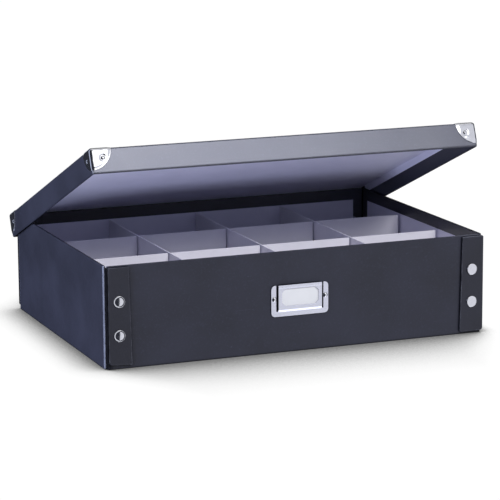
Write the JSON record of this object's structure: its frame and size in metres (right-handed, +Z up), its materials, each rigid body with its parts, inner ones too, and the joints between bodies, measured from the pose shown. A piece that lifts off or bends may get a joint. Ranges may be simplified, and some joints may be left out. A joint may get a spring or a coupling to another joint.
{
  "type": "parts sorting tray",
  "caption": "Shallow lidded box of covered board, divided into compartments by slotted strips, with corner flaps held by press studs, metal lid corners and a label holder.",
  "frame": {"origin": "centre of the box's underside, on the floor", "axes": "+Z up, -Y the front with the label holder, +X to the right as seen from the front"},
  "size_m": [0.433, 0.3297, 0.2226],
  "materials": {
    "covered_board": "satin black covering paper with a fine grain",
    "lining": "matte white",
    "divider_board": "matte white",
    "polished_metal": "polished nickel",
    "holder_metal": "satin nickel",
    "card": "matte white"
  },
  "bodies": {
    "base": {"bottom_board": "covered_board", "front_wall": "covered_board", "back_wall": "covered_board", "left_wall": "covered_board", "right_wall": "covered_board", "bottom_lining": "lining", "front_lining": "lining", "back_lining": "lining", "left_lining": "lining", "right_lining": "lining", "front_left_crease": "covered_board", "front_right_crease": "covered_board", "rear_left_crease": "covered_board", "rear_right_crease": "covered_board", "rear_left_flap": "covered_board", "rear_right_flap": "covered_board", "front_snap_studs": "polished_metal", "rear_snap_studs": "polished_metal", "rear_snap_caps": "polished_metal", "rear_snap_sockets": "polished_metal", "label_holder": "holder_metal", "label_holder_rivets": "polished_metal"},
    "lid": {"lid_panel": "covered_board", "lid_front_skirt": "covered_board", "lid_rear_skirt": "covered_board", "lid_left_skirt": "covered_board", "lid_right_skirt": "covered_board", "lid_lining": "lining", "lid_skirt_linings": "lining", "lid_front_left_metal_corner": "polished_metal", "lid_front_right_metal_corner": "polished_metal", "lid_rear_left_metal_corner": "polished_metal", "lid_rear_right_metal_corner": "polished_metal", "lid_rivets": "polished_metal"},
    "front_left_flap": {"front_left_flap": "covered_board", "front_left_snap_caps": "polished_metal", "front_left_snap_sockets": "polished_metal"},
    "front_right_flap": {"front_right_flap": "covered_board", "front_right_snap_caps": "polished_metal", "front_right_snap_sockets": "polished_metal"},
    "divider_grid": {"front_cross_divider": "divider_board", "rear_cross_divider": "divider_board", "left_long_divider": "divider_board", "middle_long_divider": "divider_board", "right_long_divider": "divider_board"},
    "label_card": {"label_card": "card"}
  },
  "joints": [
    {"name": "lid_tilt", "type": "hinge", "parent": "base", "child": "lid", "pos_m": [0, 0.1492, 0.073], "axis": [-1, 0, 0], "range_deg": [-21.9, 68.1]},
    {"name": "front_left_flap_swing", "type": "hinge", "parent": "base", "child": "front_left_flap", "pos_m": [-0.2104, -0.1548, 0.0535], "axis": [0, 0, -1], "range_deg": [0, 90]},
    {"name": "front_right_flap_swing", "type": "hinge", "parent": "base", "child": "front_right_flap", "pos_m": [0.2104, -0.1548, 0.0535], "axis": [0, 0, 1], "range_deg": [0, 90]},
    {"name": "divider_lift", "type": "slide", "parent": "base", "child": "divider_grid", "axis": [0, 0, 1], "range_m": [0, 0.015]},
    {"name": "label_card_slide", "type": "slide", "parent": "base", "child": "label_card", "axis": [0, 0, 1], "range_m": [0, 0.03]}
  ]
}
